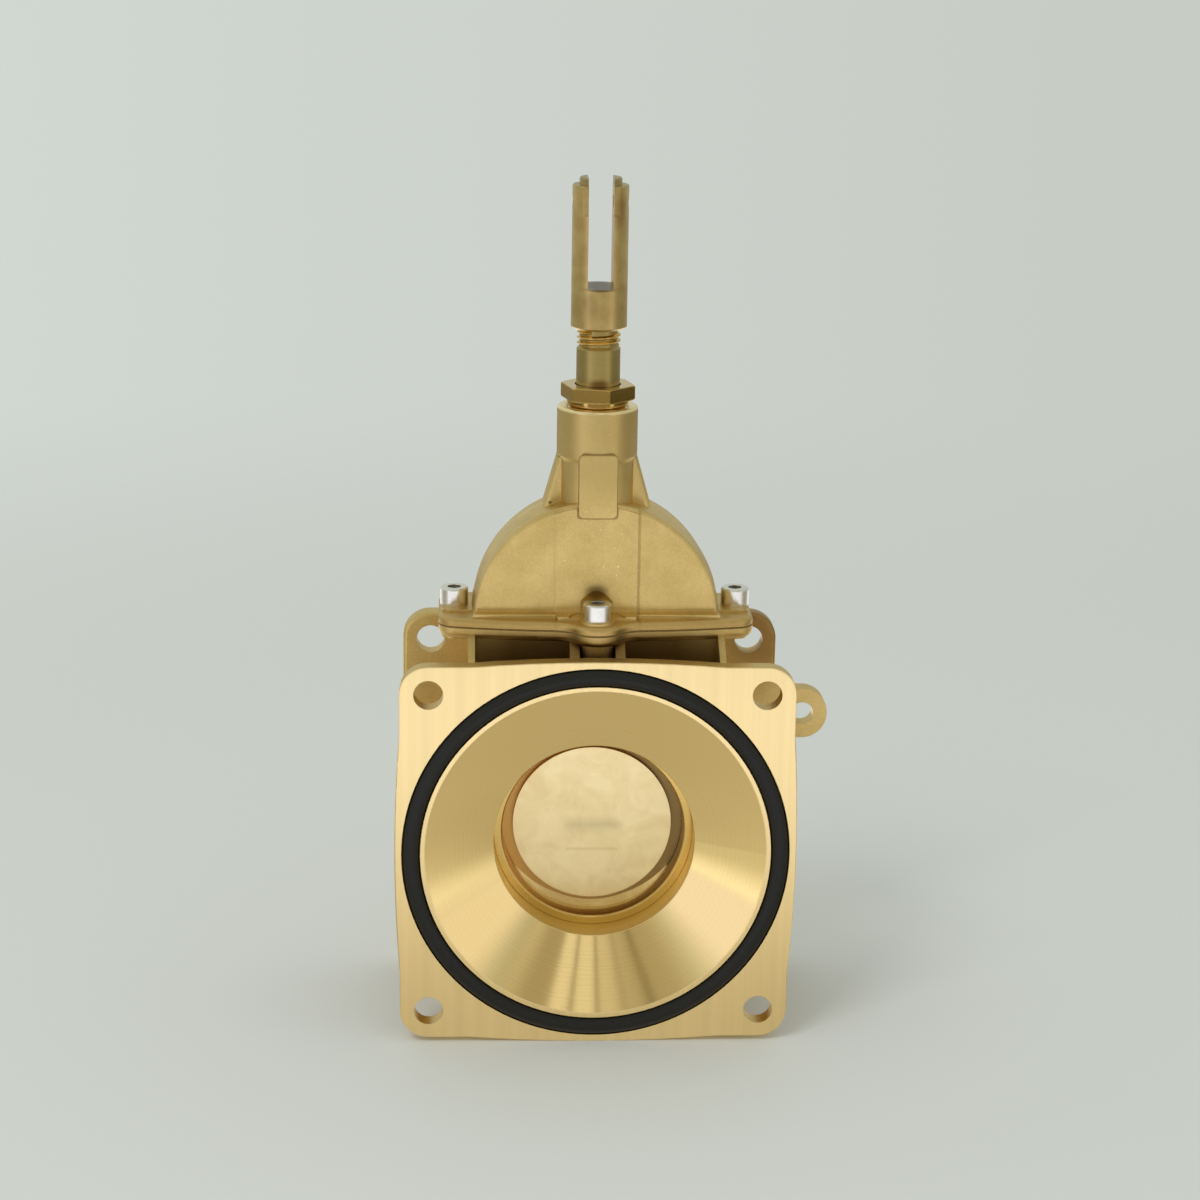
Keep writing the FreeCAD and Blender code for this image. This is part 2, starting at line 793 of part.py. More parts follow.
def dome_ledge():
    """Low step round the foot of the dome, with a bay in front of the neck's width."""
    z_range = (cover_rim_z - overrun, cover_top_z + ledge_height)
    x_reach = housing_radius - ledge_end_setback
    y_reach = housing_half + ledge_width
    bay_half = neck_upper_diameter / 2
    bay_reach = y_reach + ledge_bay_width
    step = block((-x_reach, x_reach), (mid_y - y_reach, mid_y + y_reach), z_range)
    bay = block((-bay_half, bay_half), (mid_y - bay_reach, mid_y + bay_reach), z_range)
    ledge = joined(step, bay)
    corners = upright_edges(ledge, lambda x, y: abs(abs(x) - bay_half) < TOLERANCE)
    bay_round = min(ledge_bay_round, ledge_bay_width / 2 - TOLERANCE)
    ledge = ledge.makeFillet(bay_round, corners)
    return ledge.makeFillet(ledge_edge_round, edges_at_height(ledge, z_range[1]))


def screw_pads():
    """Flat seats for the screw heads, a little above the cover's rim."""
    z_range = (cover_rim_z - overrun, cover_top_z)
    x_reach = cover_end_x - end_pad_rim
    y_range = (mid_y - end_pad_half_width, mid_y + end_pad_half_width)
    end_pads = block((-x_reach, x_reach), y_range, z_range)
    end_pads = end_pads.makeFillet(end_pad_corner_round, upright_edges(end_pads, lambda x, y: True))
    radius = screw_head_diameter / 2 + middle_pad_rim
    front_pad = cylinder_z(radius, *z_range, 0, mid_y - middle_screw_distance)
    return [end_pads, front_pad, mirrored_to_rear(front_pad)]


def dome_band():
    """Faint raised band down the dome's front face, as wide as the neck, with sloped sides."""
    face_y = mid_y - housing_half
    half = neck_upper_diameter / 2
    root = half + 2 * band_edge_run
    corners = [
        Vector(-root, face_y + band_proud, cover_rim_z),
        Vector(-half, face_y - band_proud, cover_rim_z),
        Vector(half, face_y - band_proud, cover_rim_z),
        Vector(root, face_y + band_proud, cover_rim_z),
    ]
    face = Part.Face(Part.makePolygon(corners + corners[:1]))
    band = face.extrude(Vector(0, 0, dome_top_z - cover_rim_z))
    radius = housing_radius - dome_draft - dome_edge_round
    y_range = (face_y - overrun, face_y + overrun)
    reach = cylinder_y(radius, *y_range, 0, dome_centre_z)
    foot = block((-radius, radius), y_range, (dome_centre_z - radius, dome_centre_z))
    return band.common(joined(reach, foot))


def spot_face(y_side):
    """Cutter that clears a middle screw's head and runs out up the dome's face."""
    screw_y = mid_y + y_side * middle_screw_distance
    low_z = cover_top_z
    full_z = low_z + spot_face_height
    tip_radius = middle_screw_from_dome - overrun
    straight = cylinder_z(spot_face_radius, low_z, full_z, 0, screw_y)
    runout = Part.makeCone(
        spot_face_radius, tip_radius, spot_face_runout, Vector(0, screw_y, full_z), Vector(0, 0, 1),
    )
    return joined(straight, runout)


def neck_post():
    """Stepped round neck with a rounded rim."""
    post = turned_on_stem([
        (0, neck_root_z),
        (neck_lower_diameter / 2, neck_root_z),
        (neck_lower_diameter / 2, neck_step_z - neck_step_taper / 2),
        (neck_upper_diameter / 2, neck_step_z + neck_step_taper / 2),
        (neck_upper_diameter / 2, neck_top_z),
        (0, neck_top_z),
    ])
    return post.makeFillet(neck_rim_round, edges_at_height(post, neck_top_z))


def neck_gussets():
    """Side webs that spread from the neck's step down to the dome."""
    top_half = neck_upper_diameter / 2
    foot_z = dome_top_z - gusset_foot_height
    web = plate_from_front(
        [
            (-top_half, neck_step_z),
            (top_half, neck_step_z),
            (gusset_foot_half_width, foot_z),
            (gusset_foot_half_width, neck_root_z),
            (-gusset_foot_half_width, neck_root_z),
            (-gusset_foot_half_width, foot_z),
        ],
        mid_y - gusset_thickness / 2, mid_y + gusset_thickness / 2,
    )
    slants = [edge for edge in web.Edges if is_slant_edge(edge)]
    return web.makeFillet(gusset_edge_round, slants)


def is_slant_edge(edge):
    """Whether an edge leans along a gusset's outer side."""
    box = edge.BoundBox
    leans = box.XMax - box.XMin > TOLERANCE and box.ZMax - box.ZMin > TOLERANCE
    return leans and box.YMax - box.YMin < TOLERANCE


def neck_plaque():
    """Bare raised pad on the front of the neck."""
    front_y = mid_y - neck_upper_diameter / 2 - plaque_proud
    top_z = neck_step_z + plaque_top_above_step
    pad = block(
        (-plaque_width / 2, plaque_width / 2), (front_y, mid_y), (top_z - plaque_height, top_z),
    )
    corners = [edge for edge in pad.Edges if is_along_bore(edge)]
    pad = pad.makeFillet(plaque_corner_radius, corners)
    return pad.makeFillet(plaque_edge_round, edges_at_depth(pad, front_y))


def is_along_bore(edge):
    """Whether a straight edge runs front to back."""
    box = edge.BoundBox
    return box.XMax - box.XMin < TOLERANCE and box.ZMax - box.ZMin < TOLERANCE


def stem_passage():
    """Bore up the neck: clear hole, bush seat, then the wider stuffing box."""
    clear = stem_diameter / 2 + stem_clear_gap
    bush = bush_diameter / 2 + bore_gap
    box = stuffing_diameter / 2 + bore_gap
    return turned_on_stem([
        (0, dome_centre_z),
        (clear, dome_centre_z),
        (clear, bush_bottom_z),
        (bush, bush_bottom_z),
        (bush, packing_bottom_z),
        (box, packing_bottom_z),
        (box, neck_top_z - neck_mouth_chamfer),
        (box + neck_mouth_chamfer + overrun, neck_top_z + overrun),
        (0, neck_top_z + overrun),
    ])


def bonnet():
    """Cast cover over the raised gate, with the neck that holds the gland."""
    flange = cover_plan(bonnet_base_z, cover_rim_z)
    flange = flange.makeFillet(cover_edge_round, edges_at_height(flange, cover_rim_z))
    dome = dome_shell(housing_radius, dome_draft, housing_half, dome_edge_round)
    body = joined(
        flange, dome, dome_ledge(), *screw_pads(), dome_band(),
        neck_post(), neck_gussets(), neck_plaque(),
    )
    inner = dome_shell(dome_inner_radius, 0, cavity_half, 0)
    cutters = [inner, stem_passage(), spot_face(-1), spot_face(1)]
    clearance_radius = screw_diameter / 2 + screw_hole_gap
    for x, y in SCREW_PLACES.values():
        cutters.append(cylinder_z(clearance_radius, bonnet_base_z, cover_top_z, x, y))
    for cutter in cutters:
        body = body.cut(cutter)
    return body.removeSplitter()


def bonnet_gasket():
    """Flat gasket between body and bonnet, cut out for the gate and the screws."""
    sheet = cover_plan(body_top_z, bonnet_base_z, gasket_inset)
    sheet = sheet.cut(block(
        (-cavity_radius, cavity_radius), (mid_y - cavity_half, mid_y + cavity_half),
        (body_top_z, bonnet_base_z),
    ))
    clearance_radius = screw_diameter / 2 + screw_hole_gap
    for x, y in SCREW_PLACES.values():
        sheet = sheet.cut(cylinder_z(clearance_radius, body_top_z, bonnet_base_z, x, y))
    return sheet


def bonnet_screw(place):
    """Socket head screw that holds the bonnet down."""
    x, y = SCREW_PLACES[place]
    top_z = cover_top_z + screw_head_height
    head = cylinder_z(screw_head_diameter / 2, cover_top_z, top_z, x, y)
    head = head.makeChamfer(screw_head_chamfer, edges_at_height(head, top_z))
    shank = cylinder_z(screw_diameter / 2, cover_top_z - screw_length, cover_top_z, x, y)
    socket = hexagon_bar(screw_socket_width, top_z - screw_socket_depth, top_z, x, y)
    return joined(head, shank).cut(socket)


def stem():
    """Lifting stem: round head in the gate, plain shaft, and the end that screws into the fork."""
    shaft = stem_diameter / 2
    shoulder_z = hub_top_z + stem_shoulder_gap
    thread_z = fork_bottom_z - thread_show
    core = thread_core_diameter / 2
    return turned_on_stem([
        (0, head_bottom_z),
        (stem_head_diameter / 2, head_bottom_z),
        (stem_head_diameter / 2, head_top_z),
        (stem_neck_diameter / 2, head_top_z),
        (stem_neck_diameter / 2, shoulder_z),
        (shaft, shoulder_z),
        (shaft, thread_z),
        (core, thread_z + (shaft - core)),
        (core, stem_top_z - stem_tip_chamfer),
        (core - stem_tip_chamfer, stem_top_z),
        (0, stem_top_z),
    ])


def clevis_fork():
    """Round fork with two flat-faced prongs, a turned tip and a cross hole for the lever's pin."""
    radius = fork_diameter / 2
    tip = fork_tip_diameter / 2
    ledge_z = fork_top_z - fork_tip_height
    bar = turned_on_stem([
        (0, fork_bottom_z),
        (radius - fork_foot_chamfer, fork_bottom_z),
        (radius, fork_bottom_z + fork_foot_chamfer),
        (radius, ledge_z),
        (tip, ledge_z),
        (tip, fork_top_z),
        (0, fork_top_z),
    ])
    rounded = edges_at_height(bar, fork_top_z) + outermost(edges_at_height(bar, ledge_z))
    bar = bar.makeFillet(fork_tip_round, rounded)
    for side in (-1, 1):
        y_range = sorted((mid_y + side * fork_flat_distance / 2, mid_y + side * fork_diameter))
        bar = bar.cut(block((-radius, radius), y_range, (fork_top_z - fork_flat_length, fork_top_z)))
    slot_half = fork_slot_width / 2
    bar = bar.cut(block((-slot_half, slot_half), (0, face_to_face), (fork_slot_z, fork_top_z)))
    bar = bar.cut(cylinder_z(thread_core_diameter / 2 + fork_thread_gap, fork_bottom_z, stem_top_z))
    pin_hole = Part.makeCylinder(
        fork_pin_hole_diameter / 2, fork_diameter,
        Vector(-radius, mid_y, fork_pin_z), Vector(1, 0, 0),
    )
    return bar.cut(pin_hole)


def outermost(edges):
    """The widest edge of a set of level circles."""
    return [max(edges, key=lambda edge: edge.BoundBox.XMax)]


def gland_nut():
    """Hexagon nut with a collar and a thread relief, screwed into the neck over the packing."""
    head = hexagon_bar(nut_width, nut_bottom_z, nut_top_z, 0, mid_y, nut_turn)
    corner = nut_width / math.sqrt(3)
    cap = turned_on_stem([
        (0, nut_bottom_z),
        (corner - nut_chamfer, nut_bottom_z),
        (corner, nut_bottom_z + nut_chamfer / 2),
        (corner, nut_top_z - nut_chamfer / 2),
        (corner - nut_chamfer, nut_top_z),
        (0, nut_top_z),
    ])
    outer = stuffing_diameter / 2
    collar_z = nut_bottom_z - nut_collar_height
    relief_z = collar_z - nut_relief_height
    shank = turned_on_stem([
        (0, nut_shank_bottom_z),
        (outer, nut_shank_bottom_z),
        (outer, relief_z),
        (outer - nut_relief_depth, relief_z),
        (outer - nut_relief_depth, collar_z),
        (outer, collar_z),
        (outer, nut_bottom_z),
        (0, nut_bottom_z),
    ])
    hole = cylinder_z(stem_diameter / 2 + stem_clear_gap, nut_shank_bottom_z, nut_top_z)
    return joined(head.common(cap), shank).cut(hole)


def ring_on_stem(outer_diameter, bottom_z, height):
    """Plain ring that the stem slides through."""
    ring = cylinder_z(outer_diameter / 2, bottom_z, bottom_z + height)
    return ring.cut(cylinder_z(stem_diameter / 2 + stem_running_gap, bottom_z, bottom_z + height))


def save(name, shape):
    """Write one piece to its own file."""
    shape.exportStep("parts/" + name + ".step")


def main():
    """Build every piece and write it out."""
    os.makedirs("parts", exist_ok=True)
    seat = front_seat_ring()
    save("valve_body", valve_body())
    save("front_seal_ring", front_seal_ring())
    save("front_seat_ring", seat)
    save("rear_seat_ring", mirrored_to_rear(seat))
    save("gate_front_disc", gate_front_disc())
    save("gate_rear_disc", gate_rear_disc())
    save("gate_spring", gate_spring())
    save("bonnet", bonnet())
    save("bonnet_gasket", bonnet_gasket())
    for place in SCREW_PLACES:
        save("bonnet_screw_" + place, bonnet_screw(place))
    save("stem", stem())
    save("clevis_fork", clevis_fork())
    save("stem_bush", ring_on_stem(bush_diameter, bush_bottom_z, bush_length))
    for number in range(packing_rings):
        bottom_z = packing_bottom_z + number * packing_height
        save("packing_ring_" + str(number + 1), ring_on_stem(stuffing_diameter, bottom_z, packing_height))
    save("gland_follower", ring_on_stem(stuffing_diameter, follower_bottom_z, follower_height))
    save("gland_nut", gland_nut())


main()
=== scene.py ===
"""Looks of the slide gate valve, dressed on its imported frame. Metres, in the frame's own axes.

X points right, Y runs back along the bore and Z points up along the stem.
"""

import math

import bmesh
import bpy
from mathutils import Matrix, Vector


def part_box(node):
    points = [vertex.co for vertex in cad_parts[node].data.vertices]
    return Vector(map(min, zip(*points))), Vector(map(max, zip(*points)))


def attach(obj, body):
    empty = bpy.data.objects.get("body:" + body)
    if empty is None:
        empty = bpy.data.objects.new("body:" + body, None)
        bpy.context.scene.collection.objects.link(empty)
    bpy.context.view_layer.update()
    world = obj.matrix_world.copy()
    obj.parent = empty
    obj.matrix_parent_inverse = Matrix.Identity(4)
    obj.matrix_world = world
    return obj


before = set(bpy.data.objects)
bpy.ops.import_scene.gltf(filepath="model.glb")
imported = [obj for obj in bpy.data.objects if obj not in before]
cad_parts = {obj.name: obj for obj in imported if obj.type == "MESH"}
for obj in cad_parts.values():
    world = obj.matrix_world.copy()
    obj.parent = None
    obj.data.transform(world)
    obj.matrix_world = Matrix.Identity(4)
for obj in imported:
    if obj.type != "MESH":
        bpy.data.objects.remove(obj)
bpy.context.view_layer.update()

MM = 0.001

# Places read from the frame
BODY_LOW, BODY_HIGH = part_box("valve_body")
BONNET_LOW, BONNET_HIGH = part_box("bonnet")
FORK_LOW, FORK_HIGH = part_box("clevis_fork")
STEM_Y = sum(corner.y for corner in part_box("stem")) / 2
GATE_FACE_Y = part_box("gate_front_disc")[0].y
NUT_TOP_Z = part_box("gland_nut")[1].z
SCREW_TOP_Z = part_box("bonnet_screw_front")[1].z
SEAL_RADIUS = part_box("front_seal_ring")[1].x
SEAT_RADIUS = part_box("front_seat_ring")[1].x
FLOOR_Z = BODY_LOW.z

# Forms of the solids that the finishes follow
SEAL_CORD = 8.0 * MM
MOUTH_LIP = 2.2 * MM
MOUTH_RADIUS = SEAL_RADIUS - SEAL_CORD - MOUTH_LIP
MOUTH_SLOPE = math.tan(math.radians(60))
THROAT_RADIUS = SEAT_RADIUS + 0.05 * MM
GROOVE_RADII = (37.5 * MM, 42.7 * MM)
DOME_FACE_Y = 33.0 * MM
BAND_HALF_WIDTH = 19.3 * MM
PANEL_SIZE = (17.8 * MM, 29.8 * MM)
PANEL_CENTRE_Z = 166.1 * MM
PANEL_CORNER = 2.5 * MM

# How near a point lies to a machined face, the turned cone or the bore to count as part of it
FACE_SKIN = 0.25 * MM
CONE_SKIN = 0.4 * MM
BORE_SKIN = 0.3 * MM

# Painted shade on the skin between the flanges and under the joint: along Y from the stem, down from
# the joint, down to the foot and out from the stem; in each pair the first place has the least of it
FLANGE_SHADE_DEPTH = (41.0 * MM, 38.0 * MM)
FLANGE_SHADE_TOP = (103.0 * MM, 98.0 * MM)
FLANGE_SHADE_FOOT = (20.0 * MM, 75.0 * MM)
FLANGE_SHADE_ENDS = (60.0 * MM, 38.0 * MM)

# Marks on the gate, the first a painted reflection, in mm: centre and half size across and up, soft
# edge, strength, colour
GATE_REFLECTION_AND_LINE = (
    ((0.5, -1.2), (13.0, 2.6), 2.6, 0.4, "#b3a377"),
    ((0.0, -13.2), (12.5, 0.5), 0.7, 0.3, "#b3955c"),
)

# Thread that shows between the stem's plain part and the fork
THREAD_PITCH = 2.5 * MM
THREAD_CREST = 9.95 * MM
THREAD_ROOT = 8.62 * MM
THREAD_SHOW = 9.2 * MM
THREAD_SINK = 0.3 * MM
THREAD_FLANK = 0.42 * THREAD_PITCH
THREAD_FLAT = 0.1 * THREAD_PITCH
THREAD_RUN_OUT = 0.7 * THREAD_PITCH
THREAD_STEPS = 160

# Soft lights beside the camera: azimuth and elevation in degrees, reach upwards, linear colour
SIDE_LIGHTS = (
    ((-47, 5), 0.38, [1.17, 1.17, 1.42, 1.0]),
    ((51, 7), 0.34, [1.07, 1.06, 1.13, 1.0]),
)
SIDE_LIGHT_REACH = 0.5

# Their sheen on the table: factor on the azimuth, reach sideways, and where it starts and is full
SHEEN_SPREAD = 1.06
SHEEN_REACH = 0.19
SHEEN_START = (0.6, 0.8)

# Window over the camera: azimuth in degrees and brightness, with its bars as thin dark stops
WINDOW_LIGHT = (
    (-40, 0.68), (-34, 0.63), (-28, 0.53), (-21.5, 0.51), (-20.3, 0.32), (-18.7, 0.32), (-17, 0.52),
    (-11, 0.61), (-10, 0.48), (-8.5, 0.54), (-6, 0.73), (0.6, 0.8), (1.2, 0.32), (2.4, 0.32),
    (3.0, 0.93), (11.3, 0.95), (11.9, 0.3), (13.1, 0.3), (13.7, 0.95), (19.9, 0.98), (21.6, 0.48),
    (29.5, 0.47), (35, 0.68), (40, 0.68),
)
# Where it starts, as shares of the direction: upwards, from nothing to full, and ahead
WINDOW_SILL = (0.36, 0.44)
WINDOW_FRONT = 0.3

# Table as the metal mirrors it: metres from the bore's front and brightness, then a factor by the
# sideways share of the direction
FLOOR_REACH = 1.9
FLOOR_LIGHT = (
    (0.0, 0.5), (0.06, 0.55), (0.1, 0.61), (0.17, 0.7), (0.27, 0.9), (0.36, 1.24), (0.52, 1.5),
    (0.7, 1.5), (0.83, 1.34), (0.93, 0.85), (1.0, 0.34), (1.05, 0.15), (1.15, 0.16), (1.25, 0.24),
    (1.9, 0.3),
)
FLOOR_SIDES = (
    (-1.0, 0.36), (-0.9, 0.55), (-0.78, 0.88), (-0.5, 1.0), (0.5, 0.98), (0.7, 0.88), (0.84, 0.66),
    (0.92, 0.42), (1.0, 0.32),
)
# Metres from the bore's front at which the table starts to fade and is gone
FLOOR_FADE = (0.5, 1.6)

# Powers that make a mirrored light's red, green and blue warmer the dimmer it is
WARMTH = (1.0, 1.08, 1.35)

# Lamp for the floor's shadow
KEY_PLACE = Vector((-1.2, -1.5, 2.2))
KEY_SIZE = 0.9
KEY_ENERGY = 16.5

# Camera fitted to the photograph
CAMERA_SENSOR_MM = 36.0
CAMERA_LENS_MM = 85.68
CAMERA_PLACE = Vector((-0.0608, -1.2301, 0.4629))
CAMERA_FORWARD = Vector((0.04758, 0.96250, -0.26707))
CAMERA_RIGHT = Vector((0.99886, -0.04517, 0.01514))


def linear(hex_colour):
    """Linear colour with full alpha from an sRGB hex string."""
    channels = [int(hex_colour[i:i + 2], 16) / 255 for i in (1, 3, 5)]
    return [c / 12.92 if c <= 0.04045 else ((c + 0.055) / 1.055) ** 2.4 for c in channels] + [1.0]


def per_metre(size_mm):
    """Pattern scale for features of this size in millimetres."""
    return 1 / (size_mm * MM)


def add(tree, kind, inputs=None, **settings):
    """A node with its settings. An input takes a plain value, a node's output or a whole node."""
    node = tree.nodes.new(kind)
    for name, value in settings.items():
        setattr(node, name, value)
    for key, source in (inputs or {}).items():
        socket = node.inputs[key] if isinstance(key, int) else next(
            s for s in node.inputs if s.enabled and s.name == key)
        if isinstance(source, bpy.types.Node):
            source = next(s for s in source.outputs if s.enabled)
        if isinstance(source, bpy.types.NodeSocket):
            tree.links.new(source, socket)
        else:
            socket.default_value = source
    return node


def new_material(name):
    """An empty node material with its output node and its object coordinates."""
    material = bpy.data.materials.new(name)
    material.use_nodes = True
    tree = material.node_tree
    tree.nodes.clear()
    output = add(tree, "ShaderNodeOutputMaterial")
    place = add(tree, "ShaderNodeTexCoord").outputs["Object"]
    return material, tree, output, place


def finish_metal(tree, output, colour, roughness, bump, height_mm, edge_mm):
    """Principled metal from its colour, roughness, height pattern and the wear on its edges in mm."""
    worn = add(tree, "ShaderNodeBevel", {"Radius": edge_mm * MM}, samples=4)
    normal = add(tree, "ShaderNodeBump", {
        "Strength": 1.0, "Distance": height_mm * MM, "Height": bump, "Normal": worn})
    shader = add(tree, "ShaderNodeBsdfPrincipled", {
        "Metallic": 1.0, "Base Color": colour, "Roughness": roughness, "Normal": normal})
    tree.links.new(shader.outputs[0], output.inputs[0])


def apart(tree, value, centre):
    """How far a value lies from a centre, to either side."""
    away = add(tree, "ShaderNodeMath", {0: value, 1: centre}, operation="SUBTRACT")
    return add(tree, "ShaderNodeMath", {0: away}, operation="ABSOLUTE")


def spot(tree, place, centre, reach):
    """Mask that is full round a point and fades out at this reach along each axis."""
    away = add(tree, "ShaderNodeVectorMath", {0: place, 1: centre}, operation="SUBTRACT")
    away = add(tree, "ShaderNodeVectorMath", {0: away, 1: reach}, operation="DIVIDE")
    length = add(tree, "ShaderNodeVectorMath", {0: away}, operation="LENGTH").outputs["Value"]
    return add(tree, "ShaderNodeMapRange", {
        "Value": length, "From Min": 1.0, "From Max": 0.3}, interpolation_type="SMOOTHSTEP")


def tinted(tree, colour, mask, hex_colour, strength=1.0):
    """The colour, painted over with another one by the mask and at most at this strength."""
    if strength < 1.0:
        mask = add(tree, "ShaderNodeMath", {0: mask, 1: strength}, operation="MULTIPLY")
    return add(tree, "ShaderNodeMix", {
        "Factor": mask, "A": colour, "B": linear(hex_colour)}, data_type="RGBA")


def two_tone(tree, pattern, spread, hex_low, hex_high):
    """Colour that follows a pattern, whose values lie this far to either side of a half."""
    share = add(tree, "ShaderNodeMapRange", {
        "Value": pattern, "From Min": 0.5 - spread, "From Max": 0.5 + spread})
    return add(tree, "ShaderNodeMix", {
        "Factor": share, "A": linear(hex_low), "B": linear(hex_high)}, data_type="RGBA")


def shaded(tree, colour, pattern, low, high, spread=0.2):
    """The colour times a factor that follows a pattern from low to high."""
    factor = add(tree, "ShaderNodeMapRange", {
        "Value": pattern, "From Min": 0.5 - spread, "From Max": 0.5 + spread,
        "To Min": low, "To Max": high})
    return add(tree, "ShaderNodeVectorMath", {0: colour, "Scale": factor}, operation="SCALE")


def cast_skin(tree, place):
    """Grain and colour of a blasted casting: olive gold with a sandy grain and a few nicks."""
    # Shot marks of about 0.4 mm, drawn at 0.8 mm, which is as fine as the picture can show.
    grain = add(tree, "ShaderNodeTexNoise", {
        "Vector": place, "Scale": per_metre(0.8), "Detail": 2.0, "Roughness": 0.5})
    patches = add(tree, "ShaderNodeTexNoise", {
        "Vector": place, "Scale": per_metre(16.0), "Detail": 3.0, "Roughness": 0.55})
    colour = two_tone(tree, patches, spread=0.15, hex_low="#d2b571", hex_high="#dfc27e")
    colour = shaded(tree, colour, grain, low=0.92, high=1.05)
    # Handling nicks about 1 mm long: tiny pale glints, far apart.
    nicks = add(tree, "ShaderNodeTexNoise", {
        "Vector": place, "Scale": per_metre(2.2), "Detail": 2.0, "Roughness": 0.7})
    nicks = add(tree, "ShaderNodeMapRange", {"Value": nicks, "From Min": 0.71, "From Max": 0.75})
    return grain, tinted(tree, colour, nicks, "#f4e6bd")


def panel_edge_shade(tree, x, y, z):
    """Mask of painted shade along the corner round the raised panel on the neck, as one thin line."""
    sides = [
        add(tree, "ShaderNodeMath", {0: apart(tree, axis, centre), 1: size / 2}, operation="SUBTRACT")
        for axis, centre, size in ((x, 0.0, PANEL_SIZE[0]), (z, PANEL_CENTRE_Z, PANEL_SIZE[1]))]
    outside = add(tree, "ShaderNodeMath", {
        0: sides[0], 1: sides[1], 2: PANEL_CORNER}, operation="SMOOTH_MAX")
    line = add(tree, "ShaderNodeMath", {
        0: outside, 1: 0.15 * MM, 2: 0.45 * MM}, operation="COMPARE")
    in_front = add(tree, "ShaderNodeMath", {0: y, 1: DOME_FACE_Y}, operation="LESS_THAN")
    return add(tree, "ShaderNodeMath", {0: line, 1: in_front}, operation="MULTIPLY")


def band_edge_shade(tree, x, y, place_x):
    """Mask of painted shade along one edge of the dome's raised band, on its front face."""
    edge = add(tree, "ShaderNodeMath", {0: x, 1: place_x, 2: 0.7 * MM}, operation="COMPARE")
    in_front = add(tree, "ShaderNodeMath", {
        0: y, 1: DOME_FACE_Y + 0.8 * MM}, operation="LESS_THAN")
    return add(tree, "ShaderNodeMath", {0: edge, 1: in_front}, operation="MULTIPLY")


def bonnet_brass():
    """Sand-cast brass of the bonnet, blasted: matt olive gold, with a sand pit and painted shade in
    its hollow and round its raised panel and band.
    """
    material, tree, output, place = new_material("sand_cast_brass_blasted")
    x, y, z = add(tree, "ShaderNodeSeparateXYZ", {0: place}).outputs
    grain, colour = cast_skin(tree, place)
    # Painted shade in the hollow behind the front screw, a dark brown.
    behind_screw = Vector((0, DOME_FACE_Y, SCREW_TOP_Z + 1.5 * MM))
    stain_and_shade = spot(tree, place, behind_screw, Vector((7.0, 9.0, 5.5)) * MM)
    colour = tinted(tree, colour, stain_and_shade, "#6a4b2b", strength=0.7)
    # A sand pit at the foot of the left web.
    web_foot = Vector((-21.5, 44.0, 156.0)) * MM
    pit = spot(tree, place, web_foot, Vector((1.3, 4.0, 1.1)) * MM)
    colour = tinted(tree, colour, pit, "#7a5c34")
    # Painted shade round the neck's panel and along the dome's band, more of it on the band's right,
    # the side away from the light.
    colour = tinted(tree, colour, panel_edge_shade(tree, x, y, z), "#6b5430", strength=0.55)
    for place_x, strength in ((BAND_HALF_WIDTH, 0.32), (-BAND_HALF_WIDTH, 0.12)):
        colour = tinted(tree, colour, band_edge_shade(tree, x, y, place_x), "#7d6838", strength)
    # The neck has kept more of its casting skin: a shade darker than the dome.
    neck = add(tree, "ShaderNodeMapRange", {
        "Value": z, "From Min": BONNET_HIGH.z - 50 * MM, "From Max": BONNET_HIGH.z - 25 * MM})
    colour = tinted(tree, colour, neck, "#c0a668", strength=0.6)
    # The joint's rim is a browner gold towards its bottom edge.
    rim = add(tree, "ShaderNodeMapRange", {
        "Value": z, "From Min": BONNET_LOW.z + 4.6 * MM, "From Max": BONNET_LOW.z + 2.6 * MM})
    colour = tinted(tree, colour, rim, "#bb9b5c", strength=0.75)
    # The neck's rim is turned with the stuffing box: a thin bright lip.
    lip = add(tree, "ShaderNodeMapRange", {
        "Value": z, "From Min": BONNET_HIGH.z - 1.6 * MM, "From Max": BONNET_HIGH.z - 0.8 * MM})
    colour = tinted(tree, colour, lip, "#f4dfa8")
    roughness = add(tree, "ShaderNodeMix", {"Factor": lip, "A": 0.43, "B": 0.24})
    finish_metal(tree, output, colour, roughness, bump=grain, height_mm=0.045, edge_mm=0.3)
    return material


def body_zones(tree, x, y, z):
    """Distance from the bore's line, and masks of the machined faces, the cone and the bore."""
    flat = add(tree, "ShaderNodeCombineXYZ", {"X": x, "Z": z})
    radius = add(tree, "ShaderNodeVectorMath", {0: flat}, operation="LENGTH").outputs["Value"]
    front = add(tree, "ShaderNodeMath", {0: y, 1: FACE_SKIN}, operation="LESS_THAN")
    rear = add(tree, "ShaderNodeMath", {0: y, 1: BODY_HIGH.y - FACE_SKIN}, operation="GREATER_THAN")
    faced = add(tree, "ShaderNodeMath", {0: front, 1: rear}, operation="MAXIMUM")
    cone_y = add(tree, "ShaderNodeMath", {0: MOUTH_RADIUS, 1: radius}, operation="SUBTRACT")
    cone_y = add(tree, "ShaderNodeMath", {0: cone_y, 1: MOUTH_SLOPE}, operation="DIVIDE")
    off_cone = apart(tree, y, cone_y)
    cone = add(tree, "ShaderNodeMath", {0: off_cone, 1: CONE_SKIN}, operation="LESS_THAN")
    bored = add(tree, "ShaderNodeMath", {
        0: radius, 1: THROAT_RADIUS + BORE_SKIN}, operation="LESS_THAN")
    return radius, faced, cone, bored


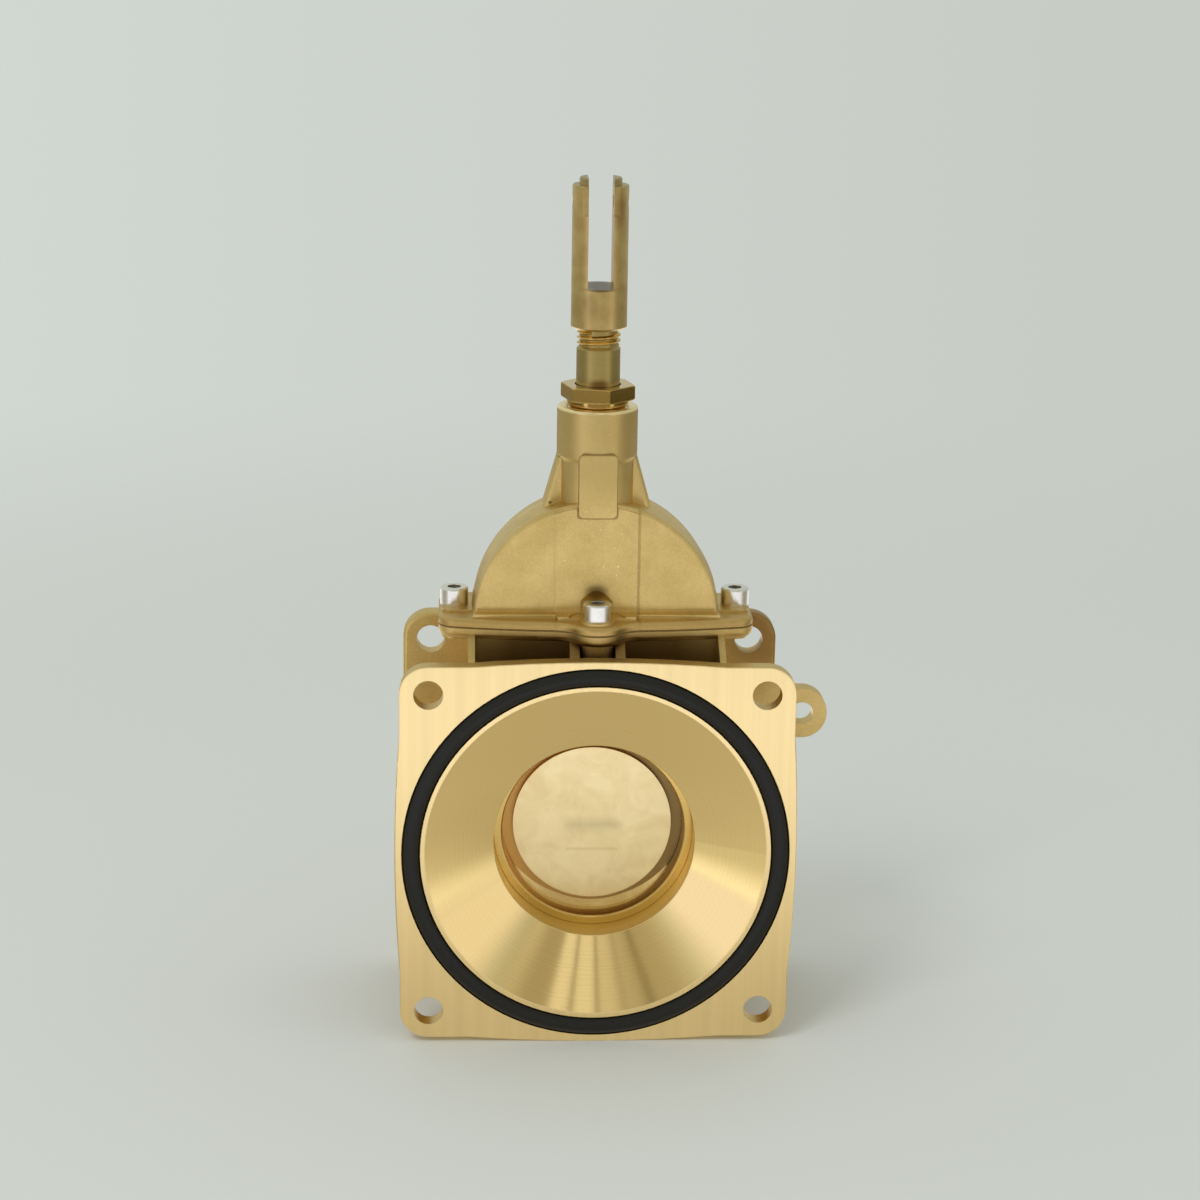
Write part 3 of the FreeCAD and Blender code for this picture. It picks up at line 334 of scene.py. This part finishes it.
def flange_shade(tree, x, y, z):
    """Mask of painted shade on the skin between the flanges and under the joint."""
    spans = (
        (apart(tree, y, STEM_Y), FLANGE_SHADE_DEPTH, 0.0, "LINEAR"),
        (z, FLANGE_SHADE_TOP, 0.0, "LINEAR"),
        (z, FLANGE_SHADE_FOOT, 0.35, "SMOOTHSTEP"),
        (apart(tree, x, 0.0), FLANGE_SHADE_ENDS, 0.1, "LINEAR"),
    )
    mask = 1.0
    for value, (start, full), least, blend in spans:
        span = add(tree, "ShaderNodeMapRange", {
            "Value": value, "From Min": start, "From Max": full, "To Min": least},
            interpolation_type=blend)
        mask = add(tree, "ShaderNodeMath", {0: mask, 1: span}, operation="MULTIPLY")
    return mask


def fly_cut(tree, x):
    """Colour and height of the machined flat faces, with faint upright stripes."""
    # Cutter passes about 5 mm apart.
    across = add(tree, "ShaderNodeCombineXYZ", {"X": x})
    stripes = add(tree, "ShaderNodeTexNoise", {
        "Vector": across, "Scale": per_metre(5.0), "Detail": 2.0})
    colour = shaded(tree, linear("#f6db9e")[:3], stripes, low=0.93, high=1.0, spread=0.15)
    return colour, stripes


def turning(tree, radius):
    """Colour and height of the turned mouth and bore, with fine rings."""
    # A feed of about 0.3 mm, drawn at 0.6 mm. The rings spread each light out along the radius and
    # leave its sides sharp, which gives the mouth its fans of light.
    outward = add(tree, "ShaderNodeCombineXYZ", {"X": radius})
    rings = add(tree, "ShaderNodeTexNoise", {
        "Vector": outward, "Scale": per_metre(0.6), "Detail": 1.0, "Roughness": 0.5})
    colour = shaded(tree, linear("#ecd08d")[:3], rings, low=0.92, high=1.0)
    height = add(tree, "ShaderNodeMath", {0: rings, 1: 0.4}, operation="MULTIPLY")
    return colour, height


def body_brass():
    """Cast brass whose faces that seal are machined: bright fly-cut faces, turned cone and bore."""
    material, tree, output, place = new_material("cast_brass_with_machined_faces")
    x, y, z = add(tree, "ShaderNodeSeparateXYZ", {0: place}).outputs
    radius, faced, cone, bored = body_zones(tree, x, y, z)
    height, colour = cast_skin(tree, place)
    roughness = 0.43
    # Painted shade: a darker brown between the flanges and under the joint.
    colour = tinted(tree, colour, flange_shade(tree, x, y, z), "#7a5a2b", strength=0.8)
    # Painted shade on the rear flange's right shoulder, the side away from the light.
    shoulder = Vector((86.0, 90.0, 84.0)) * MM
    shoulder_shade = spot(tree, place, shoulder, Vector((34.0, 14.0, 40.0)) * MM)
    colour = tinted(tree, colour, shoulder_shade, "#94713c", strength=0.9)
    ring_colour, ring_height = turning(tree, radius)
    stripe_colour, stripe_height = fly_cut(tree, x)
    for zone, zone_colour, zone_roughness, zone_height in (
            (cone, ring_colour, 0.1, ring_height),
            (bored, ring_colour, 0.32, ring_height),
            (faced, stripe_colour, 0.32, stripe_height)):
        colour = add(tree, "ShaderNodeMix", {
            "Factor": zone, "A": colour, "B": zone_colour}, data_type="RGBA")
        roughness = add(tree, "ShaderNodeMix", {"Factor": zone, "A": roughness, "B": zone_roughness})
        height = add(tree, "ShaderNodeMix", {"Factor": zone, "A": height, "B": zone_height})
    finish_metal(tree, output, colour, roughness, bump=height, height_mm=0.045, edge_mm=0.3)
    return material


def turned_brass(name, hex_colour, roughness, edge_mm):
    """Free-machining brass bar, turned: olive gold with fine rings round its upright axis."""
    material, tree, output, place = new_material(name)
    # A feed of 0.2 mm, drawn at 0.6 mm so that it shows.
    marks_place = add(tree, "ShaderNodeMapping", {"Vector": place, "Scale": (0.02, 0.02, 1.0)})
    marks = add(tree, "ShaderNodeTexNoise", {
        "Vector": marks_place, "Scale": per_metre(0.6), "Detail": 2.0})
    colour = shaded(tree, linear(hex_colour)[:3], marks, low=0.93, high=1.0)
    # Painted reflection of the nut's top: a dark patch on the stem just above the nut.
    above_nut = Vector((0, STEM_Y - 10 * MM, NUT_TOP_Z + 1 * MM))
    nut_reflection = spot(tree, place, above_nut, Vector((6.5, 4.0, 3.5)) * MM)
    colour = tinted(tree, colour, nut_reflection, "#8a6c3c")
    finish_metal(tree, output, colour, roughness, bump=marks, height_mm=0.008, edge_mm=edge_mm)
    return material


def fork_brass():
    """Drawn brass bar, milled and tumbled: a satin brown-gold with soft upright streaks."""
    material, tree, output, place = new_material("drawn_brass_milled")
    streak_place = add(tree, "ShaderNodeMapping", {"Vector": place, "Scale": (1.0, 1.0, 0.06)})
    streaks = add(tree, "ShaderNodeTexNoise", {
        "Vector": streak_place, "Scale": per_metre(1.5), "Detail": 3.0, "Roughness": 0.6})
    blots = add(tree, "ShaderNodeTexNoise", {
        "Vector": place, "Scale": per_metre(7.0), "Detail": 2.0})
    colour = two_tone(tree, blots, spread=0.15, hex_low="#bfa164", hex_high="#ccb174")
    # A faint stain on the left of the foot.
    foot = Vector((-5 * MM, FORK_LOW.y, FORK_LOW.z + 12 * MM))
    stain_and_shade = spot(tree, place, foot, Vector((5.0, 6.0, 9.0)) * MM)
    colour = tinted(tree, colour, stain_and_shade, "#97804e", strength=0.5)
    # The slot's floor is a darker brown.
    slot_floor = Vector((0, STEM_Y, FORK_LOW.z + 19.0 * MM))
    darker_floor = spot(tree, place, slot_floor, Vector((10.0, 30.0, 1.5)) * MM)
    colour = tinted(tree, colour, darker_floor, "#5f4c2e")
    # The tips have gone dull, and the right arm is browned below its tip.
    z = add(tree, "ShaderNodeSeparateXYZ", {0: place}).outputs["Z"]
    tips = add(tree, "ShaderNodeMapRange", {
        "Value": z, "From Min": FORK_HIGH.z - 5 * MM, "From Max": FORK_HIGH.z - 2 * MM})
    colour = tinted(tree, colour, tips, "#8a7c56", strength=0.55)
    below_tip = Vector((9 * MM, FORK_LOW.y + 2 * MM, FORK_HIGH.z - 14 * MM))
    browned = spot(tree, place, below_tip, Vector((4.5, 7.0, 11.0)) * MM)
    colour = tinted(tree, colour, browned, "#8d6236", strength=0.55)
    finish_metal(tree, output, colour, roughness=0.34, bump=streaks, height_mm=0.02, edge_mm=0.3)
    return material


def reflection_and_line(tree, colour, x, z):
    """The colour with the marks across the gate's middle: a grey bar of painted reflection and a thin
    line under it.
    """
    for centre, half, soft, strength, hex_colour in GATE_REFLECTION_AND_LINE:
        across, upright = (
            add(tree, "ShaderNodeMapRange", {
                "Value": apart(tree, axis, middle * MM),
                "From Min": (reach + soft) * MM, "From Max": (reach - soft) * MM})
            for axis, middle, reach in zip((x, z), centre, half))
        mark = add(tree, "ShaderNodeMath", {0: across, 1: upright}, operation="MULTIPLY")
        colour = tinted(tree, colour, mark, hex_colour, strength)
    return colour


def gate_groove(tree, x, y, z):
    """Mask of the groove's darker colour, which narrows towards the groove's lower side."""
    flat = add(tree, "ShaderNodeCombineXYZ", {"X": x, "Z": z})
    radius = add(tree, "ShaderNodeVectorMath", {0: flat}, operation="LENGTH").outputs["Value"]
    rim = add(tree, "ShaderNodeMapRange", {
        "Value": z, "From Min": -37 * MM, "From Max": -22 * MM,
        "To Min": GROOVE_RADII[0] + 2.6 * MM, "To Max": GROOVE_RADII[1] + 0.1 * MM})
    inside = add(tree, "ShaderNodeMath", {0: radius, 1: rim}, operation="LESS_THAN")
    sunk = add(tree, "ShaderNodeMath", {0: y, 1: GATE_FACE_Y + 0.3 * MM}, operation="GREATER_THAN")
    return add(tree, "ShaderNodeMath", {0: inside, 1: sunk}, operation="MULTIPLY")


def gate_brass():
    """Ground brass disc: pale gold, ground from side to side, with its groove left dark."""
    material, tree, output, place = new_material("ground_brass")
    x, y, z = add(tree, "ShaderNodeSeparateXYZ", {0: place}).outputs
    # Grinding scratches about 0.5 mm apart, drawn at 1 mm, that run from side to side.
    brush_place = add(tree, "ShaderNodeMapping", {"Vector": place, "Scale": (0.05, 1.0, 1.0)})
    brush = add(tree, "ShaderNodeTexNoise", {
        "Vector": brush_place, "Scale": per_metre(1.0), "Detail": 2.0, "Roughness": 0.5})
    # Clouds where the disc has been wiped by hand.
    clouds = add(tree, "ShaderNodeTexNoise", {
        "Vector": place, "Scale": per_metre(13.0), "Detail": 4.0, "Roughness": 0.6,
        "Distortion": 0.8})
    colour = two_tone(tree, clouds, spread=0.14, hex_low="#eed69f", hex_high="#f9e4af")
    # A grey bar of painted reflection and a thin line across the gate's middle.
    colour = reflection_and_line(tree, colour, x, z)
    # The groove is darker: golden on the left and olive on the right, the olive being painted shade.
    groove = gate_groove(tree, x, y, z)
    across = add(tree, "ShaderNodeMapRange", {
        "Value": x, "From Min": -GROOVE_RADII[0], "From Max": GROOVE_RADII[0]})
    groove_tone_and_shade = add(tree, "ShaderNodeMix", {
        "Factor": across, "A": linear("#e2b46c"), "B": linear("#a38b5c")}, data_type="RGBA")
    colour = add(tree, "ShaderNodeMix", {
        "Factor": groove, "A": colour, "B": groove_tone_and_shade}, data_type="RGBA")
    roughness = add(tree, "ShaderNodeMix", {"Factor": groove, "A": 0.34, "B": 0.5})
    finish_metal(tree, output, colour, roughness, bump=brush, height_mm=0.015, edge_mm=0.3)
    return material


def stainless_steel():
    """Stainless steel screw, cold-headed and passivated: a satin grey."""
    material, tree, output, place = new_material("stainless_steel_satin")
    grain = add(tree, "ShaderNodeTexNoise", {
        "Vector": place, "Scale": per_metre(0.7), "Detail": 2.0})
    colour = shaded(tree, linear("#eae6db")[:3], grain, low=0.9, high=1.0)
    finish_metal(tree, output, colour, roughness=0.24, bump=grain, height_mm=0.01, edge_mm=0.3)
    return material


def soft_seal(name, hex_colour, roughness):
    """Moulded rubber, fibre sheet or braided cord: no metal, a soft sheen and a faint grain."""
    material, tree, output, place = new_material(name)
    grain = add(tree, "ShaderNodeTexNoise", {
        "Vector": place, "Scale": per_metre(1.0), "Detail": 3.0})
    colour = shaded(tree, linear(hex_colour)[:3], grain, low=0.8, high=1.2)
    normal = add(tree, "ShaderNodeBump", {
        "Strength": 1.0, "Distance": 0.02 * MM, "Height": grain})
    shader = add(tree, "ShaderNodeBsdfPrincipled", {
        "Base Color": colour, "Roughness": roughness, "Specular IOR Level": 0.3,
        "Normal": normal})
    tree.links.new(shader.outputs[0], output.inputs[0])
    return material


def dress_nodes(turned):
    """Give every node of the frame its finish; the plain turned pieces all share one."""
    gate, steel = gate_brass(), stainless_steel()
    finishes = {
        "valve_body": body_brass(),
        "bonnet": bonnet_brass(),
        "clevis_fork": fork_brass(),
        "stem": turned_brass("drawn_stem_brass", "#ae985c", roughness=0.36, edge_mm=0.3),
        "gate_front_disc": gate,
        "gate_rear_disc": gate,
        "gate_spring": steel,
        "front_seal_ring": soft_seal("moulded_nitrile_rubber", "#191814", roughness=0.45),
        "bonnet_gasket": soft_seal("fibre_gasket_sheet", "#8a7143", roughness=0.85),
    }
    packing = soft_seal("braided_graphite_packing", "#35332f", roughness=0.7)
    for name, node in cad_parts.items():
        material = finishes.get(name, turned)
        if name.startswith("bonnet_screw"):
            material = steel
        if name.startswith("packing_ring"):
            material = packing
        node.data.materials.clear()
        node.data.materials.append(material)


def new_object(name, bm):
    """An object of this mesh in the scene."""
    mesh = bpy.data.meshes.new(name)
    bm.to_mesh(mesh)
    bm.free()
    obj = bpy.data.objects.new(name, mesh)
    bpy.context.scene.collection.objects.link(obj)
    return obj


def run_out(bm, low, high):
    """Let the thread's ridge sink into its core towards both ends."""
    for vert in bm.verts:
        off_axis = Vector((vert.co.x, vert.co.y - STEM_Y))
        from_end = min(vert.co.z - low, high - vert.co.z)
        full = min(1.0, from_end / THREAD_RUN_OUT)
        excess = max(0.0, off_axis.length - THREAD_ROOT)
        inward = off_axis.normalized() * excess * (1 - full)
        vert.co -= inward.to_3d()


def stem_thread(material):
    """Helical ridge on the bare core below the fork, run out into the core at both ends."""
    low = FORK_LOW.z - THREAD_SHOW + THREAD_PITCH / 2
    high = FORK_LOW.z - THREAD_PITCH / 2
    inner = THREAD_ROOT - THREAD_SINK
    outline = (
        (inner, -THREAD_FLANK), (THREAD_ROOT, -THREAD_FLANK), (THREAD_CREST, -THREAD_FLAT),
        (THREAD_CREST, THREAD_FLAT), (THREAD_ROOT, THREAD_FLANK), (inner, THREAD_FLANK))
    bm = bmesh.new()
    profile = [bm.verts.new((radius, STEM_Y, low + rise)) for radius, rise in outline]
    edges = [bm.edges.new(pair) for pair in zip(profile, profile[1:] + profile[:1])]
    bmesh.ops.spin(
        bm, geom=profile + edges, cent=(0, STEM_Y, 0), axis=(0, 0, 1),
        dvec=(0, 0, (high - low) / THREAD_STEPS), angle=2 * math.pi * (high - low) / THREAD_PITCH,
        steps=THREAD_STEPS, use_merge=False)
    bmesh.ops.holes_fill(bm, edges=bm.edges[:], sides=len(outline))
    run_out(bm, low - THREAD_FLANK, high + THREAD_FLANK)
    bmesh.ops.recalc_face_normals(bm, faces=bm.faces)
    thread = new_object("stem_thread", bm)
    thread.data.materials.append(material)
    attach(thread, "stem")


def around(azimuth, elevation):
    """Direction at this azimuth to the right of the front and this elevation, in degrees."""
    azimuth, elevation = math.radians(azimuth), math.radians(elevation)
    level = math.cos(elevation)
    return (level * math.sin(azimuth), -level * math.cos(azimuth), math.sin(elevation))


def light_ramp(tree, position, stops):
    """Light along a line; each stop is a place and a brightness, warmer where it is dim."""
    low, high = stops[0][0], stops[-1][0]
    along = add(tree, "ShaderNodeMapRange", {"Value": position, "From Min": low, "From Max": high})
    ramp = add(tree, "ShaderNodeValToRGB", {0: along})
    elements = ramp.color_ramp.elements
    for number, (place, light) in enumerate(stops):
        share = (place - low) / (high - low)
        stop = elements[number] if number < 2 else elements.new(share)
        stop.position = share
        stop.color = [light ** power for power in WARMTH] + [1.0]
    return ramp.outputs[0]


def mirrored_floor(tree, place):
    """What the metal mirrors of the table: paler away from the valve, then the dark room beyond."""
    distance = add(tree, "ShaderNodeVectorMath", {0: place}, operation="LENGTH").outputs["Value"]
    way = add(tree, "ShaderNodeVectorMath", {0: place}, operation="NORMALIZE")
    sideways = add(tree, "ShaderNodeSeparateXYZ", {0: way}).outputs["X"]
    colour = add(tree, "ShaderNodeVectorMath", {
        0: light_ramp(tree, distance, FLOOR_LIGHT), 1: light_ramp(tree, sideways, FLOOR_SIDES)},
        operation="MULTIPLY")
    far = add(tree, "ShaderNodeMapRange", {
        "Value": distance, "From Min": SHEEN_START[0], "From Max": SHEEN_START[1]})
    for (azimuth, _), _, glow in SIDE_LIGHTS:
        sheen = spot(tree, way, around(SHEEN_SPREAD * azimuth, 0), (SHEEN_REACH, SHEEN_REACH, 1.0))
        sheen = add(tree, "ShaderNodeMath", {0: sheen, 1: far}, operation="MULTIPLY")
        colour = add(tree, "ShaderNodeMix", {
            "Factor": sheen, "A": colour, "B": glow}, data_type="RGBA")
    return colour


def make_floor():
    """Pale table top that fades out into the background."""
    bm = bmesh.new()
    bmesh.ops.create_circle(
        bm, cap_ends=True, segments=96, radius=FLOOR_REACH,
        matrix=Matrix.Translation((0, 0, FLOOR_Z)))
    floor = new_object("table_top", bm)
    material, tree, output, place = new_material("pale_painted_board")
    distance = add(tree, "ShaderNodeVectorMath", {0: place}, operation="LENGTH").outputs["Value"]
    fade = add(tree, "ShaderNodeMapRange", {
        "Value": distance, "From Min": FLOOR_FADE[0], "From Max": FLOOR_FADE[1]},
        interpolation_type="SMOOTHSTEP")
    board = add(tree, "ShaderNodeBsdfDiffuse", {"Color": linear("#e5e7e5")})
    clear = add(tree, "ShaderNodeBsdfTransparent")
    board = add(tree, "ShaderNodeMixShader", {0: fade, 1: board, 2: clear})
    # To glossy rays the table glows with painted light: the lit table and the dark room beyond, as
    # the metal mirrors them.
    glow = add(tree, "ShaderNodeEmission", {"Color": mirrored_floor(tree, place)})
    path = add(tree, "ShaderNodeLightPath")
    mixed = add(tree, "ShaderNodeMixShader", {0: path.outputs["Is Glossy Ray"], 1: board, 2: glow})
    tree.links.new(mixed.outputs[0], output.inputs[0])
    floor.data.materials.append(material)


def mirrored_studio(tree, way, seen):
    """What the metal mirrors of the room: soft lights at the sides, a window over the camera."""
    x, y, z = add(tree, "ShaderNodeSeparateXYZ", {0: way}).outputs
    colour = seen
    for centre, reach, glow in SIDE_LIGHTS:
        mask = spot(tree, way, around(*centre), (SIDE_LIGHT_REACH, SIDE_LIGHT_REACH, reach))
        colour = add(tree, "ShaderNodeMix", {
            "Factor": mask, "A": colour, "B": glow}, data_type="RGBA")
    # Across the window, by the tangent of the azimuth.
    ahead = add(tree, "ShaderNodeMath", {0: y, 1: -1.0}, operation="MULTIPLY")
    across = add(tree, "ShaderNodeMath", {0: x, 1: ahead}, operation="DIVIDE")
    stops = [(math.tan(math.radians(azimuth)), light) for azimuth, light in WINDOW_LIGHT]
    window = light_ramp(tree, across, stops)
    above = add(tree, "ShaderNodeMapRange", {
        "Value": z, "From Min": WINDOW_SILL[0], "From Max": WINDOW_SILL[1]})
    front = add(tree, "ShaderNodeMath", {0: ahead, 1: WINDOW_FRONT}, operation="GREATER_THAN")
    mask = add(tree, "ShaderNodeMath", {0: above, 1: front}, operation="MULTIPLY")
    return add(tree, "ShaderNodeMix", {"Factor": mask, "A": colour, "B": window}, data_type="RGBA")


def make_world():
    """Pale surroundings: one tone lights the scene, one is seen, and the metal mirrors the studio."""
    world = bpy.data.worlds.new("studio")
    bpy.context.scene.world = world
    world.use_nodes = True
    tree = world.node_tree
    tree.nodes.clear()
    output = add(tree, "ShaderNodeOutputWorld")
    way = add(tree, "ShaderNodeTexCoord").outputs["Generated"]
    sideways = add(tree, "ShaderNodeSeparateXYZ", {0: way}).outputs["X"]
    side = add(tree, "ShaderNodeMapRange", {"Value": sideways, "From Min": -0.3, "From Max": 0.3})
    seen = add(tree, "ShaderNodeMix", {
        "Factor": side, "A": linear("#d5dbd5"), "B": linear("#c5cac3")}, data_type="RGBA")
    mirrored = mirrored_studio(tree, way, seen)
    path = add(tree, "ShaderNodeLightPath")
    looks = add(tree, "ShaderNodeMath", {
        0: path.outputs["Is Camera Ray"], 1: path.outputs["Is Transmission Ray"]},
        operation="MAXIMUM")
    colour = add(tree, "ShaderNodeMix", {
        "Factor": looks, "A": linear("#d0d4ce"), "B": seen}, data_type="RGBA")
    colour = add(tree, "ShaderNodeMix", {
        "Factor": path.outputs["Is Glossy Ray"], "A": colour, "B": mirrored}, data_type="RGBA")
    surroundings = add(tree, "ShaderNodeBackground", {"Color": colour})
    tree.links.new(surroundings.outputs[0], output.inputs[0])


def make_key_lamp():
    """Far soft lamp that makes the floor's shadow and leaves no glint on the metal."""
    light = bpy.data.lights.new("key", "AREA")
    light.size = KEY_SIZE
    light.energy = KEY_ENERGY
    lamp = bpy.data.objects.new("key", light)
    bpy.context.scene.collection.objects.link(lamp)
    lamp.location = KEY_PLACE
    lamp.rotation_mode = "QUATERNION"
    lamp.rotation_quaternion = (-KEY_PLACE).to_track_quat("-Z", "Y")
    lamp.visible_camera = False
    lamp.visible_glossy = False


def make_camera():
    """Camera where the photograph was taken from."""
    camera = bpy.data.cameras.new("camera")
    camera.sensor_width = CAMERA_SENSOR_MM
    camera.lens = CAMERA_LENS_MM
    obj = bpy.data.objects.new("camera", camera)
    bpy.context.scene.collection.objects.link(obj)
    up = CAMERA_RIGHT.cross(CAMERA_FORWARD).normalized()
    right = CAMERA_FORWARD.cross(up).normalized()
    turn = Matrix((right, up, -CAMERA_FORWARD)).transposed()
    obj.matrix_world = Matrix.Translation(CAMERA_PLACE) @ turn.to_4x4()
    bpy.context.scene.camera = obj


make_camera()
make_world()
make_floor()
make_key_lamp()
bright_brass = turned_brass("turned_bright_brass", "#d6b469", roughness=0.14, edge_mm=0.7)
dress_nodes(bright_brass)
stem_thread(bright_brass)

bpy.context.scene.view_settings.view_transform = "Standard"
